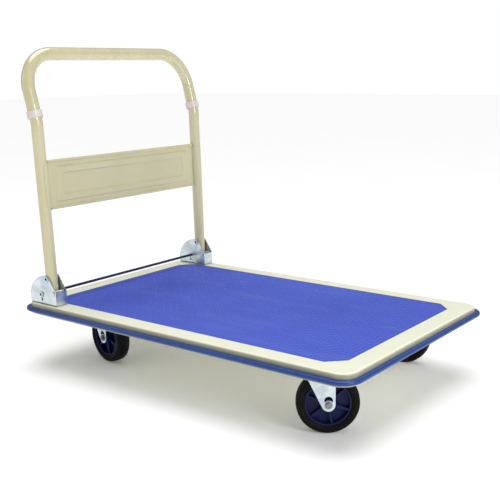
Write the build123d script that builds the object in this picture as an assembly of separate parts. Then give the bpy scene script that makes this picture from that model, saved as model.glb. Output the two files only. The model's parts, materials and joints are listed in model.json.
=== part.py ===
# Flatbed platform truck with a fold-down push handle.
# Millimetres. X runs from the handle end (-X) to the front (+X), Y across, Z up.
# The origin is on the floor, below the middle of the deck.
from build123d import *
import math
import os

os.makedirs("parts", exist_ok=True)

# ---------------------------------------------------------------- driving sizes
MAT_LENGTH = 800.0          # anti-slip mat on the deck
MAT_WIDTH = 480.0
MAT_THICK = 3.0
END_MARGIN = 45.0           # painted rim left round the mat, at the ends
SIDE_MARGIN = 41.0          # and along the sides
WHEEL_D = 122.0             # castor wheel across the tyre
WHEEL_WIDTH = 32.0
CASTOR_HEIGHT = 142.0       # floor to the top of the castor plate
TUBE_D = 27.2               # handle tube
HANDLE_RISE = 559.0         # mat top to the middle of the top bar
SHEET = 2.0                 # pressed deck sheet
FIT = 0.05                  # radial running fit of every pin and bore
GAP = 0.4                   # air between neighbours that move past each other

# ---------------------------------------------------------------- deck
DECK_LENGTH = MAT_LENGTH + 2 * END_MARGIN
DECK_WIDTH = MAT_WIDTH + 2 * SIDE_MARGIN
RAIL_THICK = 3.0
RAIL_FLANGE = 12.0
RAIL_END_GAP = 1.0                              # front rail to the inside of the skirt
RAIL_SIDE_PLAY = 3.0                            # castor plate to rail flange
FLOOR_UNDER = CASTOR_HEIGHT + RAIL_THICK        # underside of the sunk deck floor
FLOOR_TOP = FLOOR_UNDER + SHEET
MAT_TOP = FLOOR_TOP + MAT_THICK
RIM_PROUD = 0.5                                 # rim stands this far above the mat
RIM_TOP = MAT_TOP + RIM_PROUD
SKIRT_DROP = 25.7                               # depth of the turned-down edge
SKIRT_BOTTOM = RIM_TOP - SKIRT_DROP
DECK_CORNER_R = 33.0
RIM_EDGE_R = 5.0
LIP_WIDTH = 8.0                                 # lip turned in under the skirt
MAT_CHAMFER = 32.0
MAT_PLAY = 1.0
MAT_EDGE = 0.6                                  # broken top edge of the mat
CAP = 1.5                                       # how far cutters run past a face

# ---------------------------------------------------------------- bumper strip
BUMPER_PROUD = 12.0
BUMPER_HEIGHT = 8.5
BUMPER_BELOW_RIM = 11.2
BUMPER_FLAT = 0.06                              # flat part of each rounded face / height
BUMPER_TOP = RIM_TOP - BUMPER_BELOW_RIM
BUMPER_BOTTOM = BUMPER_TOP - BUMPER_HEIGHT

# ---------------------------------------------------------------- castors
FRONT_CASTOR_X = MAT_LENGTH / 2 - 74.0           # swivel pins, inwards from the mat's edges
FRONT_CASTOR_Y = MAT_WIDTH / 2 - 5.0
REAR_CASTOR_X = MAT_LENGTH / 2 - 72.0
REAR_CASTOR_Y = MAT_WIDTH / 2 - 84.0
TRAIL = 40.0                                    # axle behind the swivel pin
# name, x, y, resting swivel angle in degrees (0 = wheel trails towards +X)
CASTORS = [
    ("front_right", FRONT_CASTOR_X, -FRONT_CASTOR_Y, 38.0),
    ("front_left", FRONT_CASTOR_X, FRONT_CASTOR_Y, 185.0),
    ("rear_right", -REAR_CASTOR_X, -REAR_CASTOR_Y, -10.0),
    ("rear_left", -REAR_CASTOR_X, REAR_CASTOR_Y, 160.0),
]
PLATE_LENGTH = 96.0
PLATE_WIDTH = 80.0
PLATE_THICK = 3.0
PLATE_CORNER_R = 8.0
BOLT_SPAN_X = 75.0
BOLT_SPAN_Y = 58.0
STUD_D = 8.0
NUT_WIDTH = 13.0
NUT_HEIGHT = 6.0
STUD_BELOW_NUT = 1.0
PLATE_TOP = CASTOR_HEIGHT
PLATE_BOTTOM = PLATE_TOP - PLATE_THICK
RACE_D = 62.0
RACE_DEPTH = 11.0
RACE_GAP = 1.0                                  # cup to fork crown
RACE_WALL = 2.5
CROWN_D = RACE_D - 2.0                          # round part of the fork crown
CROWN_THICK = 3.0
FORK_THICK = 3.0
WHEEL_R = WHEEL_D / 2
AXLE_Z = WHEEL_R
WHEEL_SIDE_GAP = 2.5                            # wheel side to fork leg
FORK_INSIDE = WHEEL_WIDTH + 2 * WHEEL_SIDE_GAP
FORK_OUTSIDE = FORK_INSIDE + 2 * FORK_THICK
CROWN_TOP = PLATE_BOTTOM - RACE_DEPTH - RACE_GAP
CROWN_BOTTOM = CROWN_TOP - CROWN_THICK
FORK_TIP_R = 13.0
FORK_SHOULDER_DROP = 17.0                       # front top corner of each leg, cut back
CROWN_REACH = 26.0                              # crown plate ahead of the swivel pin
FORK_RAKE = 25.5                                # slope of the leg's trailing edge, degrees
KINGPIN_D = 12.0
KINGPIN_HEAD_D = 20.0
KINGPIN_HEAD = 3.0
AXLE_D = 8.0
AXLE_HEAD_D = 14.0
AXLE_HEAD = 2.5
AXLE_END_D = 9.5
AXLE_END = 2.5
AXLE_EAR_D = AXLE_HEAD_D + 4.0                  # solid ring of each leg round the axle
AXLE_SLOT_W = 16.0                              # opening above the axle in each leg
AXLE_SLOT_RISE = 9.0
SLEEVE_D = 12.0                                 # spacer tube the hub turns on

# ---------------------------------------------------------------- wheels
RING_R = 44.5                                   # outer radius of the hub rim
RING_WALL = 3.0
HUB_BOSS_R = 11.0
HUB_BOSS_WIDTH = WHEEL_WIDTH + 2 * (WHEEL_SIDE_GAP - GAP)
HUB_WEB = 4.0
HUB_RIB = 4.0
HUB_RIBS = 6
HUB_RIB_TURN = 20.0                             # first rib, degrees below the trailing direction
RING_WIDTH = WHEEL_WIDTH - 4.0                  # rim ring, set back from the tyre sides
RIB_WIDTH = RING_WIDTH - 6.0                    # ribs, set back from the ring
TYRE_SHOULDER = 6.0

# ---------------------------------------------------------------- handle
TUBE_R = TUBE_D / 2
TUBE_WALL = 2.0
LEG_BESIDE_MAT = 19.4                           # legs stand over the side margins
LEG_Y = MAT_WIDTH / 2 + LEG_BESIDE_MAT
PIVOT_FROM_END = 77.0
PIVOT_X = -(DECK_LENGTH / 2 - PIVOT_FROM_END)
PIVOT_RISE = 62.2                               # pivot above the mat top
PIVOT_Z = MAT_TOP + PIVOT_RISE
PIVOT_D = 10.0
LEG_LEAN = 0.9                                  # degrees the legs lean back at rest
GRIP_LEAN = 14.3                                # degrees the grip bow leans back
KINK_RISE = 412.0                               # bend between leg and grip bow
KINK_R = 80.0
BOW_R = 82.0                                    # corner radius of the grip bow
SLEEVE_THICK = 0.8
COLLAR_LENGTH = 16.0
COLLAR_THICK = 2.6
COLLAR_EDGE_R = 1.0
COLLAR_ABOVE_KINK = 1.0

# ---------------------------------------------------------------- release bar
BAR_D = 6.5
BAR_BACK = 20.6                                 # behind the pivot
BAR_DROP = 38.2                                 # below the pivot
BAR_TRAVEL = 11.5
BAR_X = PIVOT_X - BAR_BACK
BAR_Z = PIVOT_Z - BAR_DROP
BAR_NUT_D = 11.5
BAR_NUT_HEIGHT = 2.2
BAR_WASHER_D = 14.0
BAR_WASHER = 0.8
BAR_END = 0.3                                   # bar past its nut
# The leg stub under the pivot swings clear of the raised bar.
STUB_SWING_GAP = 0.8
STUB_R = math.hypot(BAR_BACK, BAR_DROP) - BAR_D / 2 - STUB_SWING_GAP
STUB_LENGTH = math.sqrt(STUB_R ** 2 - TUBE_R ** 2)

# ---------------------------------------------------------------- hinge brackets
CHEEK = 2.0
CHANNEL_GAP = 0.5                               # each side of the tube
CHANNEL_INSIDE = TUBE_D + 2 * CHANNEL_GAP
CHANNEL_OUTSIDE = CHANNEL_INSIDE + 2 * CHEEK
BRACKET_BACK = 62.0                             # pivot to the rear edge
BRACKET_WALL_RISE = 33.5
BRACKET_BEND_R = 4.0                            # outside of the fold between cheek and base
BRACKET_TOP_R = 8.0                             # pivot to the crest of the cheeks
BRACKET_CUT_RISE = BRACKET_TOP_R + 30.0         # hollow cutter, above the pivot
BRACKET_BACK_RISE = 25.0
BRACKET_ARC_BULGE = 0.165                       # sagitta of the domed edge / its chord
STOP_D = 12.0
STOP_DROP = 32.0
STOP_TOUCH = 0.35
STOP_AHEAD = TUBE_R + STOP_D / 2 + STOP_TOUCH + STOP_DROP * math.tan(math.radians(LEG_LEAN))
STOP_WALL_GAP = 1.0                             # stop pin to the front wall
BRACKET_FRONT = STOP_AHEAD + STOP_D / 2 + STOP_WALL_GAP + CHEEK     # pivot to the front wall
STOP_RIVET_D = 7.0
RIVET_HEAD = 1.8
PIVOT_HEAD_D = PIVOT_D + 4.0
PIVOT_BORE_D = PIVOT_D - 4.0                    # hollow rivet
STOP_HEAD_D = STOP_RIVET_D + 3.0
BRACKET_BOLT_D = 8.0
BRACKET_BOLT_HEAD = 5.0
BRACKET_BOLT_BACK = 45.0
BRACKET_BOLT_AHEAD = 13.0

# ---------------------------------------------------------------- back panel
PANEL_TOP_RISE = 330.0
PANEL_BOTTOM_RISE = 218.0
PANEL_SHEET = 1.5
HEM_D = 7.0
HEM_WALL = 1.2
OUTER_PRESS_Y = 222.0
OUTER_PRESS_EDGE = 17.0
INNER_PRESS_Y = 202.0
INNER_PRESS_EDGE = 32.0
PRESS_STEP = 2.5
PRESS_CUT = 20.0                                # cutter depth through the sheet
SHEET_OVERRUN = 1.0                             # sheet into the tabs
HEM_SHORT = 3.5                                 # hem ends short of the sheet
SADDLE_STEPS = 6                                # corners of the tab cutter
SADDLE_WRAP = 18.0                              # degrees the end tabs reach past the front


def save(shape, name):
    """Write one sub-part, as its own file."""
    shape.label = name
    export_step(shape, f"parts/{name}.step")


def group(solids):
    """Put the given shapes side by side in one compound."""
    flat = []
    for item in solids:
        flat.extend(item.solids())
    return Compound(children=flat)


def block(x0, x1, y0, y1, z0, z1):
    """Plain box between two corners."""
    size = (x1 - x0, y1 - y0, z1 - z0)
    centre = ((x0 + x1) / 2, (y0 + y1) / 2, (z0 + z1) / 2)
    return Pos(*centre) * Box(*size)


def rod_y(x, z, diameter, y0, y1):
    """Round bar lying along Y."""
    bar = Rot(90, 0, 0) * Cylinder(diameter / 2, y1 - y0)
    return Pos(x, (y0 + y1) / 2, z) * bar


def rod_z(x, y, diameter, z0, z1):
    """Round bar standing along Z."""
    return Pos(x, y, (z0 + z1) / 2) * Cylinder(diameter / 2, z1 - z0)


def hexagon_z(x, y, across_flats, z0, z1):
    """Six-sided block standing along Z."""
    face = RegularPolygon(across_flats / 2, 6, major_radius=False)
    return Pos(x, y, z0) * extrude(face, z1 - z0)


def rounded_slab(length, width, radius, z0, z1):
    """Plate with rounded corners, centred on the deck axis."""
    return Pos(0, 0, z0) * extrude(RectangleRounded(length, width, radius), z1 - z0)


def chamfered_slab(grow, z0, z1):
    """Slab with the mat's outline, grown by the given amount all round."""
    half_x = MAT_LENGTH / 2 + grow
    half_y = MAT_WIDTH / 2 + grow
    cut = MAT_CHAMFER + grow * (2 - math.sqrt(2))
    points = [
        (half_x - cut, -half_y), (half_x, -half_y + cut),
        (half_x, half_y - cut), (half_x - cut, half_y),
        (-half_x + cut, half_y), (-half_x, half_y - cut),
        (-half_x, -half_y + cut), (-half_x + cut, -half_y),
    ]
    return Pos(0, 0, z0) * extrude(make_face(Polyline(*points, close=True)), z1 - z0)


# ================================================================ deck
def stud_places(castor_x, castor_y):
    """The four fixing studs of one castor plate."""
    places = []
    for sx in (-1, 1):
        for sy in (-1, 1):
            places.append((castor_x + sx * BOLT_SPAN_X / 2, castor_y + sy * BOLT_SPAN_Y / 2))
    return places


def bracket_bolt_places():
    """The two fixing bolts under each hinge bracket."""
    places = []
    for side in (-1, 1):
        places.append((PIVOT_X - BRACKET_BOLT_BACK, side * LEG_Y))
        places.append((PIVOT_X + BRACKET_BOLT_AHEAD, side * LEG_Y))
    return places


def deck_pan():
    """Pressed steel tray: sunk floor, raised rim, skirt and turned-in lip."""
    outer = rounded_slab(DECK_LENGTH, DECK_WIDTH, DECK_CORNER_R, SKIRT_BOTTOM, RIM_TOP)
    outer = fillet(outer.faces().sort_by(Axis.Z)[-1].edges(), RIM_EDGE_R)
    inside = rounded_slab(
        DECK_LENGTH - 2 * SHEET, DECK_WIDTH - 2 * SHEET, DECK_CORNER_R - SHEET,
        SKIRT_BOTTOM + SHEET, RIM_TOP - SHEET,
    )
    inside = fillet(inside.faces().sort_by(Axis.Z)[-1].edges(), RIM_EDGE_R - SHEET)
    mouth = rounded_slab(
        DECK_LENGTH - 2 * LIP_WIDTH, DECK_WIDTH - 2 * LIP_WIDTH, DECK_CORNER_R - LIP_WIDTH,
        SKIRT_BOTTOM - CAP, SKIRT_BOTTOM + SHEET + CAP,
    )
    pan = outer - inside - mouth
    pan += chamfered_slab(MAT_PLAY + SHEET, FLOOR_UNDER, RIM_TOP - SHEET / 2)
    pan -= chamfered_slab(MAT_PLAY, FLOOR_TOP, RIM_TOP + CAP)
    for x, y in bracket_bolt_places():
        pan -= rod_z(x, y, BRACKET_BOLT_D, RIM_TOP - SHEET - CAP, RIM_TOP + CAP)
    return pan


def deck_mat():
    """Anti-slip mat with cut corners, lying in the sunk floor."""
    mat = chamfered_slab(0.0, FLOOR_TOP, MAT_TOP)
    return chamfer(mat.faces().sort_by(Axis.Z)[-1].edges(), MAT_EDGE)


def bumper_strip():
    """Soft strip with a rounded face running right round the skirt."""
    face_step = BUMPER_HEIGHT * BUMPER_FLAT
    radius = DECK_CORNER_R + BUMPER_PROUD
    ring = rounded_slab(
        DECK_LENGTH + 2 * BUMPER_PROUD, DECK_WIDTH + 2 * BUMPER_PROUD, radius,
        BUMPER_BOTTOM, BUMPER_TOP,
    )
    rim_edges = ring.faces().sort_by(Axis.Z)[0].edges() + ring.faces().sort_by(Axis.Z)[-1].edges()
    ring = fillet(rim_edges, BUMPER_HEIGHT / 2 - face_step)
    core = rounded_slab(
        DECK_LENGTH, DECK_WIDTH, DECK_CORNER_R, BUMPER_BOTTOM - CAP, BUMPER_TOP + CAP,
    )
    return ring - core


def cross_rail(sign):
    """Shallow channel under the floor that carries one pair of castors."""
    middle = sign * (FRONT_CASTOR_X if sign > 0 else REAR_CASTOR_X)
    half_y = MAT_WIDTH / 2 + MAT_PLAY + SHEET
    if sign > 0:
        half_y = DECK_WIDTH / 2 - SHEET - RAIL_END_GAP
    half_x = PLATE_LENGTH / 2 + RAIL_THICK + RAIL_SIDE_PLAY
    rail = block(middle - half_x, middle + half_x, -half_y, half_y, PLATE_TOP, FLOOR_UNDER)
    for edge in (-1, 1):
        x0 = middle + edge * half_x
        x1 = x0 - edge * RAIL_THICK
        rail += block(min(x0, x1), max(x0, x1), -half_y, half_y, PLATE_TOP - RAIL_FLANGE, PLATE_TOP)
    return rail


def castor_plate(castor_x, castor_y):
    """Top plate with the fixed cup of the swivel race and four stud holes."""
    plate = extrude(RectangleRounded(PLATE_LENGTH, PLATE_WIDTH, PLATE_CORNER_R), PLATE_THICK)
    plate = Pos(castor_x, castor_y, PLATE_BOTTOM) * plate
    cup_low = PLATE_BOTTOM - RACE_DEPTH
    cup = rod_z(castor_x, castor_y, RACE_D, cup_low, PLATE_BOTTOM)
    cup -= rod_z(castor_x, castor_y, RACE_D - 2 * RACE_WALL, cup_low - CAP, PLATE_BOTTOM)
    plate += cup
    for x, y in stud_places(castor_x, castor_y):
        plate -= rod_z(x, y, STUD_D, PLATE_BOTTOM - CAP, PLATE_TOP + CAP)
    return plate - rod_z(castor_x, castor_y, KINGPIN_D, PLATE_BOTTOM - CAP, PLATE_TOP + CAP)


def castor_fixings():
    """Weld studs under the rails, each with its nut."""
    solids = []
    for _, castor_x, castor_y, _ in CASTORS:
        for x, y in stud_places(castor_x, castor_y):
            nut = hexagon_z(x, y, NUT_WIDTH, PLATE_BOTTOM - NUT_HEIGHT, PLATE_BOTTOM)
            stud = rod_z(x, y, STUD_D, PLATE_BOTTOM - NUT_HEIGHT - STUD_BELOW_NUT, PLATE_TOP)
            solids.append(nut + stud)
    return group(solids)


def kingpin(castor_x, castor_y):
    """Swivel pin riveted into the plate, with its head under the fork crown."""
    head_top = CROWN_BOTTOM - GAP
    pin = rod_z(castor_x, castor_y, KINGPIN_D, head_top - KINGPIN_HEAD, PLATE_TOP)
    return pin + rod_z(castor_x, castor_y, KINGPIN_HEAD_D, head_top - KINGPIN_HEAD, head_top)


# ================================================================ castor forks and wheels
def fork_leg_outline():
    """Side view of one leg: upright front edge, raked rear edge, round tip."""
    rake = math.radians(FORK_RAKE)
    top = CROWN_TOP - AXLE_Z
    touch_x = -FORK_TIP_R * math.cos(rake)
    touch_z = -FORK_TIP_R * math.sin(rake)
    left_top = touch_x - (top - touch_z) * math.tan(rake)
    tip_x = FORK_TIP_R * math.sin(rake / 2)
    tip_z = -FORK_TIP_R * math.cos(rake / 2)
    shoulder = top - FORK_SHOULDER_DROP
    crown_end = CROWN_REACH - TRAIL
    outline = [
        Line((left_top, top), (touch_x, touch_z)),
        ThreePointArc((touch_x, touch_z), (tip_x, tip_z), (FORK_TIP_R, 0)),
        Line((FORK_TIP_R, 0), (FORK_TIP_R, shoulder)),
        Line((FORK_TIP_R, shoulder), (crown_end, top)),
        Line((crown_end, top), (left_top, top)),
    ]
    return make_face(outline)


def fork():
    """Castor fork at the swivel pin's place, its wheel trailing along +X."""
    leg = extrude(Plane.XZ * fork_leg_outline(), FORK_THICK / 2, both=True)
    slot = rod_y(0, 0, AXLE_SLOT_W, -FORK_THICK, FORK_THICK)
    slot = Pos(0, 0, AXLE_SLOT_RISE) * slot
    leg -= slot
    leg += rod_y(0, 0, AXLE_EAR_D, -FORK_THICK / 2, FORK_THICK / 2)
    leg -= rod_y(0, 0, AXLE_D, -FORK_THICK, FORK_THICK)
    body = None
    for side in (-1, 1):
        offset = side * (FORK_INSIDE + FORK_THICK) / 2
        placed = Pos(TRAIL, offset, AXLE_Z) * leg
        body = placed if body is None else body + placed
    crown_half = FORK_OUTSIDE / 2
    crown = block(0.0, CROWN_REACH, -crown_half, crown_half, CROWN_BOTTOM, CROWN_TOP)
    crown += rod_z(0, 0, CROWN_D, CROWN_BOTTOM, CROWN_TOP)
    boss = rod_z(0, 0, RACE_D - 2 * RACE_WALL - 2 * GAP, CROWN_TOP, PLATE_BOTTOM - GAP)
    body = body + crown + boss
    return body - rod_z(0, 0, KINGPIN_D + 2 * FIT, CROWN_BOTTOM - CAP, PLATE_BOTTOM + CAP)


def axle():
    """Axle bolt through both legs with a head, an end nut and the hub spacer."""
    reach = FORK_OUTSIDE / 2
    bolt = rod_y(TRAIL, AXLE_Z, AXLE_D, -reach, reach)
    for side in (-1, 1):
        y0 = side * reach
        y1 = side * (reach + AXLE_HEAD)
        y2 = side * (reach + AXLE_HEAD + AXLE_END)
        bolt += rod_y(TRAIL, AXLE_Z, AXLE_HEAD_D, min(y0, y1), max(y0, y1))
        bolt += rod_y(TRAIL, AXLE_Z, AXLE_END_D, min(y1, y2), max(y1, y2))
    inside = FORK_INSIDE / 2
    return bolt + rod_y(TRAIL, AXLE_Z, SLEEVE_D, -inside, inside)


def wheel_hub():
    """Moulded hub: rim ring, thin web, radial ribs and a boss round the spacer."""
    ring = rod_y(TRAIL, AXLE_Z, 2 * RING_R, -RING_WIDTH / 2, RING_WIDTH / 2)
    ring -= rod_y(TRAIL, AXLE_Z, 2 * (RING_R - RING_WALL), -RING_WIDTH, RING_WIDTH)
    hub = ring + rod_y(TRAIL, AXLE_Z, 2 * RING_R - RING_WALL, -HUB_WEB / 2, HUB_WEB / 2)
    length = RING_R - RING_WALL / 2
    for index in range(HUB_RIBS):
        rib = Pos(length / 2, 0, 0) * Box(length, RIB_WIDTH, HUB_RIB)
        hub += Pos(TRAIL, 0, AXLE_Z) * Rot(0, 360.0 * index / HUB_RIBS + HUB_RIB_TURN, 0) * rib
    hub += rod_y(TRAIL, AXLE_Z, 2 * HUB_BOSS_R, -HUB_BOSS_WIDTH / 2, HUB_BOSS_WIDTH / 2)
    return hub - rod_y(TRAIL, AXLE_Z, SLEEVE_D + 2 * FIT, -WHEEL_WIDTH, WHEEL_WIDTH)


def wheel_tyre():
    """Solid rubber tyre with rounded shoulders, moulded on the hub rim."""
    tyre = rod_y(TRAIL, AXLE_Z, WHEEL_D, -WHEEL_WIDTH / 2, WHEEL_WIDTH / 2)
    tyre = fillet(tyre.edges().filter_by(GeomType.CIRCLE), TYRE_SHOULDER)
    return tyre - rod_y(TRAIL, AXLE_Z, 2 * RING_R, -WHEEL_WIDTH, WHEEL_WIDTH)


# ================================================================ hinge brackets
def cheek_outline():
    """Side view of a bracket: upright front, sloping brow, domed back."""
    base = RIM_TOP - PIVOT_Z
    wall_top = base + BRACKET_WALL_RISE
    back_top = base + BRACKET_BACK_RISE
    brow = math.atan2(BRACKET_TOP_R - wall_top, BRACKET_FRONT)
    brow_x = BRACKET_TOP_R * math.sin(brow)
    brow_z = BRACKET_TOP_R * math.cos(brow)
    crest_x = BRACKET_TOP_R * math.sin(brow / 2)
    crest_z = BRACKET_TOP_R * math.cos(brow / 2)
    chord = math.hypot(BRACKET_BACK, BRACKET_TOP_R - back_top)
    middle = ((-BRACKET_BACK) / 2, (back_top + BRACKET_TOP_R) / 2)
    out = ((BRACKET_TOP_R - back_top) / chord, BRACKET_BACK / chord)
    bulge = chord * BRACKET_ARC_BULGE
    dome = (middle[0] - out[0] * bulge, middle[1] + out[1] * bulge)
    outline = [
        Line((-BRACKET_BACK, base), (BRACKET_FRONT, base)),
        Line((BRACKET_FRONT, base), (BRACKET_FRONT, wall_top)),
        Line((BRACKET_FRONT, wall_top), (brow_x, brow_z)),
        ThreePointArc((brow_x, brow_z), (crest_x, crest_z), (0, BRACKET_TOP_R)),
        ThreePointArc((0, BRACKET_TOP_R), dome, (-BRACKET_BACK, back_top)),
        Line((-BRACKET_BACK, back_top), (-BRACKET_BACK, base)),
    ]
    return make_face(outline)


def hinge_bracket(side):
    """Folded channel on the rim: two cheeks, a base and a low front wall."""
    cheek = extrude(Plane.XZ * cheek_outline(), CHANNEL_OUTSIDE / 2, both=True)
    cheek = fillet(cheek.edges().filter_by(Axis.X).group_by(Axis.Z)[0], BRACKET_BEND_R)
    bracket = Pos(PIVOT_X, side * LEG_Y, PIVOT_Z) * cheek
    front = PIVOT_X + BRACKET_FRONT
    hollow = block(
        PIVOT_X - BRACKET_BACK - CAP, front - CHEEK,
        side * LEG_Y - CHANNEL_INSIDE / 2, side * LEG_Y + CHANNEL_INSIDE / 2,
        RIM_TOP + CHEEK, PIVOT_Z + BRACKET_CUT_RISE,
    )
    bracket -= hollow
    above_wall = block(
        front - CHEEK - CAP, front + CAP,
        side * LEG_Y - CHANNEL_INSIDE / 2, side * LEG_Y + CHANNEL_INSIDE / 2,
        RIM_TOP + BRACKET_WALL_RISE - CHEEK, PIVOT_Z,
    )
    bracket -= above_wall
    y0 = side * LEG_Y - CHANNEL_OUTSIDE
    y1 = side * LEG_Y + CHANNEL_OUTSIDE
    bracket -= rod_y(PIVOT_X, PIVOT_Z, PIVOT_D, y0, y1)
    bracket -= rod_y(PIVOT_X + STOP_AHEAD, PIVOT_Z - STOP_DROP, STOP_RIVET_D, y0, y1)
    slot_r = BAR_D / 2 + GAP
    slot = rod_y(BAR_X, BAR_Z, 2 * slot_r, y0, y1)
    slot += rod_y(BAR_X, BAR_Z - BAR_TRAVEL, 2 * slot_r, y0, y1)
    slot += block(BAR_X - slot_r, BAR_X + slot_r, y0, y1, BAR_Z - BAR_TRAVEL, BAR_Z)
    bracket -= slot
    for x, y in bracket_bolt_places():
        if y * side > 0:
            bracket -= rod_z(x, y, BRACKET_BOLT_D, RIM_TOP - CAP, RIM_TOP + CHEEK + CAP)
    return bracket


def bracket_bolts():
    """Hexagon bolts through bracket base and rim, with nuts underneath."""
    solids = []
    head_z = RIM_TOP + CHEEK
    under = RIM_TOP - SHEET
    for x, y in bracket_bolt_places():
        bolt = rod_z(x, y, BRACKET_BOLT_D, under - NUT_HEIGHT - STUD_BELOW_NUT, head_z)
        bolt += hexagon_z(x, y, NUT_WIDTH, head_z, head_z + BRACKET_BOLT_HEAD)
        bolt += hexagon_z(x, y, NUT_WIDTH, under - NUT_HEIGHT, under)
        solids.append(bolt)
    return group(solids)


def pivot_rivets():
    """Hollow rivets on which the legs hinge, one per bracket."""
    solids = []
    for side in (-1, 1):
        half = CHANNEL_OUTSIDE / 2
        y = side * LEG_Y
        rivet = rod_y(PIVOT_X, PIVOT_Z, PIVOT_D, y - half, y + half)
        for end in (-1, 1):
            a = y + end * half
            b = y + end * (half + RIVET_HEAD)
            rivet += rod_y(PIVOT_X, PIVOT_Z, PIVOT_HEAD_D, min(a, b), max(a, b))
        reach = half + RIVET_HEAD + CAP
        solids.append(rivet - rod_y(PIVOT_X, PIVOT_Z, PIVOT_BORE_D, y - reach, y + reach))
    return group(solids)


def stop_pins():
    """Rivets with a fat middle: the legs lean back against them."""
    solids = []
    x = PIVOT_X + STOP_AHEAD
    z = PIVOT_Z - STOP_DROP
    for side in (-1, 1):
        y = side * LEG_Y
        inside = CHANNEL_INSIDE / 2
        outside = CHANNEL_OUTSIDE / 2
        pin = rod_y(x, z, STOP_D, y - inside, y + inside)
        pin += rod_y(x, z, STOP_RIVET_D, y - outside, y + outside)
        for end in (-1, 1):
            a = y + end * outside
            b = y + end * (outside + RIVET_HEAD)
            pin += rod_y(x, z, STOP_HEAD_D, min(a, b), max(a, b))
        solids.append(pin)
    return group(solids)


# ================================================================ release bar
def release_bar():
    """Foot bar that crosses the deck behind the legs."""
    half = LEG_Y + CHANNEL_OUTSIDE / 2 + GAP + BAR_WASHER + BAR_NUT_HEIGHT + BAR_END
    return rod_y(BAR_X, BAR_Z, BAR_D, -half, half)


def release_nuts():
    """A washer and a round push nut on each end of the release bar."""
    solids = []
    for side in (-1, 1):
        a = LEG_Y + CHANNEL_OUTSIDE / 2 + GAP
        b = a + BAR_WASHER
        c = b + BAR_NUT_HEIGHT
        y = sorted((side * a, side * b))
        nut = rod_y(BAR_X, BAR_Z, BAR_WASHER_D, y[0], y[1])
        y = sorted((side * b, side * c))
        nut += rod_y(BAR_X, BAR_Z, BAR_NUT_D, y[0], y[1])
        solids.append(nut - rod_y(BAR_X, BAR_Z, BAR_D, -LEG_Y * 2, LEG_Y * 2))
    return group(solids)


# ================================================================ handle
def leg_x(rise):
    """Place of the leg's middle line at a height above the mat top."""
    return PIVOT_X - (rise - PIVOT_RISE) * math.tan(math.radians(LEG_LEAN))


def leg_point(side, rise):
    """Point on one leg's middle line below the kink."""
    return Vector(leg_x(rise), side * LEG_Y, MAT_TOP + rise)


def bow_point(y, rise):
    """Point in the tilted plane of the grip bow."""
    back = (rise - KINK_RISE) * math.tan(math.radians(GRIP_LEAN))
    return Vector(leg_x(KINK_RISE) - back, y, MAT_TOP + rise)


def rounded_path(points, radii):
    """Straight runs joined by tangent arcs at every inner point."""
    edges = []
    start = points[0]
    for index in range(1, len(points) - 1):
        corner = points[index]
        before = (points[index - 1] - corner).normalized()
        after = (points[index + 1] - corner).normalized()
        half_angle = math.radians(before.get_angle(after)) / 2
        radius = radii[index - 1]
        reach = radius / math.tan(half_angle)
        centre_dir = (before + after).normalized()
        enter = corner + before * reach
        leave = corner + after * reach
        middle = corner + centre_dir * (radius / math.sin(half_angle) - radius)
        edges.append(Line(start, enter))
        edges.append(ThreePointArc(enter, middle, leave))
        start = leave
    edges.append(Line(start, points[-1]))
    return Wire(edges)


def pipe(path, outer_r, inner_r):
    """Hollow round section carried along a path."""
    start = Plane(origin=path @ 0, z_dir=path % 0)
    section = start * (Circle(outer_r) - Circle(inner_r))
    return sweep(section, path=path)


def kink_end_rise():
    """Height at which the grip bow's straight part begins."""
    turn = math.radians(GRIP_LEAN - LEG_LEAN)
    return KINK_RISE + KINK_R * math.tan(turn / 2) * math.cos(math.radians(GRIP_LEAN))


def handle_tube():
    """Single bent tube: two legs, two kinks and the bow between them."""
    foot = PIVOT_RISE - STUB_LENGTH * math.cos(math.radians(LEG_LEAN))
    points = [
        leg_point(-1, foot), leg_point(-1, KINK_RISE), bow_point(-LEG_Y, HANDLE_RISE),
        bow_point(LEG_Y, HANDLE_RISE), leg_point(1, KINK_RISE), leg_point(1, foot),
    ]
    tube = pipe(rounded_path(points, [KINK_R, BOW_R, BOW_R, KINK_R]), TUBE_R, TUBE_R - TUBE_WALL)
    span = LEG_Y + TUBE_D
    return tube - rod_y(PIVOT_X, PIVOT_Z, PIVOT_D + 2 * FIT, -span, span)


def grip_sleeve():
    """Smooth vinyl sleeve over the whole bow, from collar to collar."""
    rise = kink_end_rise() + COLLAR_ABOVE_KINK
    points = [
        bow_point(-LEG_Y, rise), bow_point(-LEG_Y, HANDLE_RISE),
        bow_point(LEG_Y, HANDLE_RISE), bow_point(LEG_Y, rise),
    ]
    return pipe(rounded_path(points, [BOW_R, BOW_R]), TUBE_R + SLEEVE_THICK, TUBE_R)


def grip_collar(side):
    """Plain ring round the lower end of the grip sleeve."""
    low = bow_point(side * LEG_Y, kink_end_rise() + COLLAR_ABOVE_KINK)
    along = (bow_point(side * LEG_Y, HANDLE_RISE) - low).normalized()
    inner = TUBE_R + SLEEVE_THICK
    face = Plane(origin=low, z_dir=along) * (Circle(inner + COLLAR_THICK) - Circle(inner))
    ring = extrude(face, COLLAR_LENGTH)
    return fillet(ring.edges().filter_by(GeomType.CIRCLE).group_by(SortBy.RADIUS)[-1], COLLAR_EDGE_R)


def panel_frame():
    """Plane of the panel: origin between the legs, along Y, up the legs."""
    middle = (PANEL_TOP_RISE + PANEL_BOTTOM_RISE) / 2
    lean = math.radians(LEG_LEAN)
    return Plane(
        origin=(leg_x(middle), 0, MAT_TOP + middle),
        x_dir=(0, 1, 0),
        z_dir=(math.cos(lean), 0, math.sin(lean)),
    )


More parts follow.
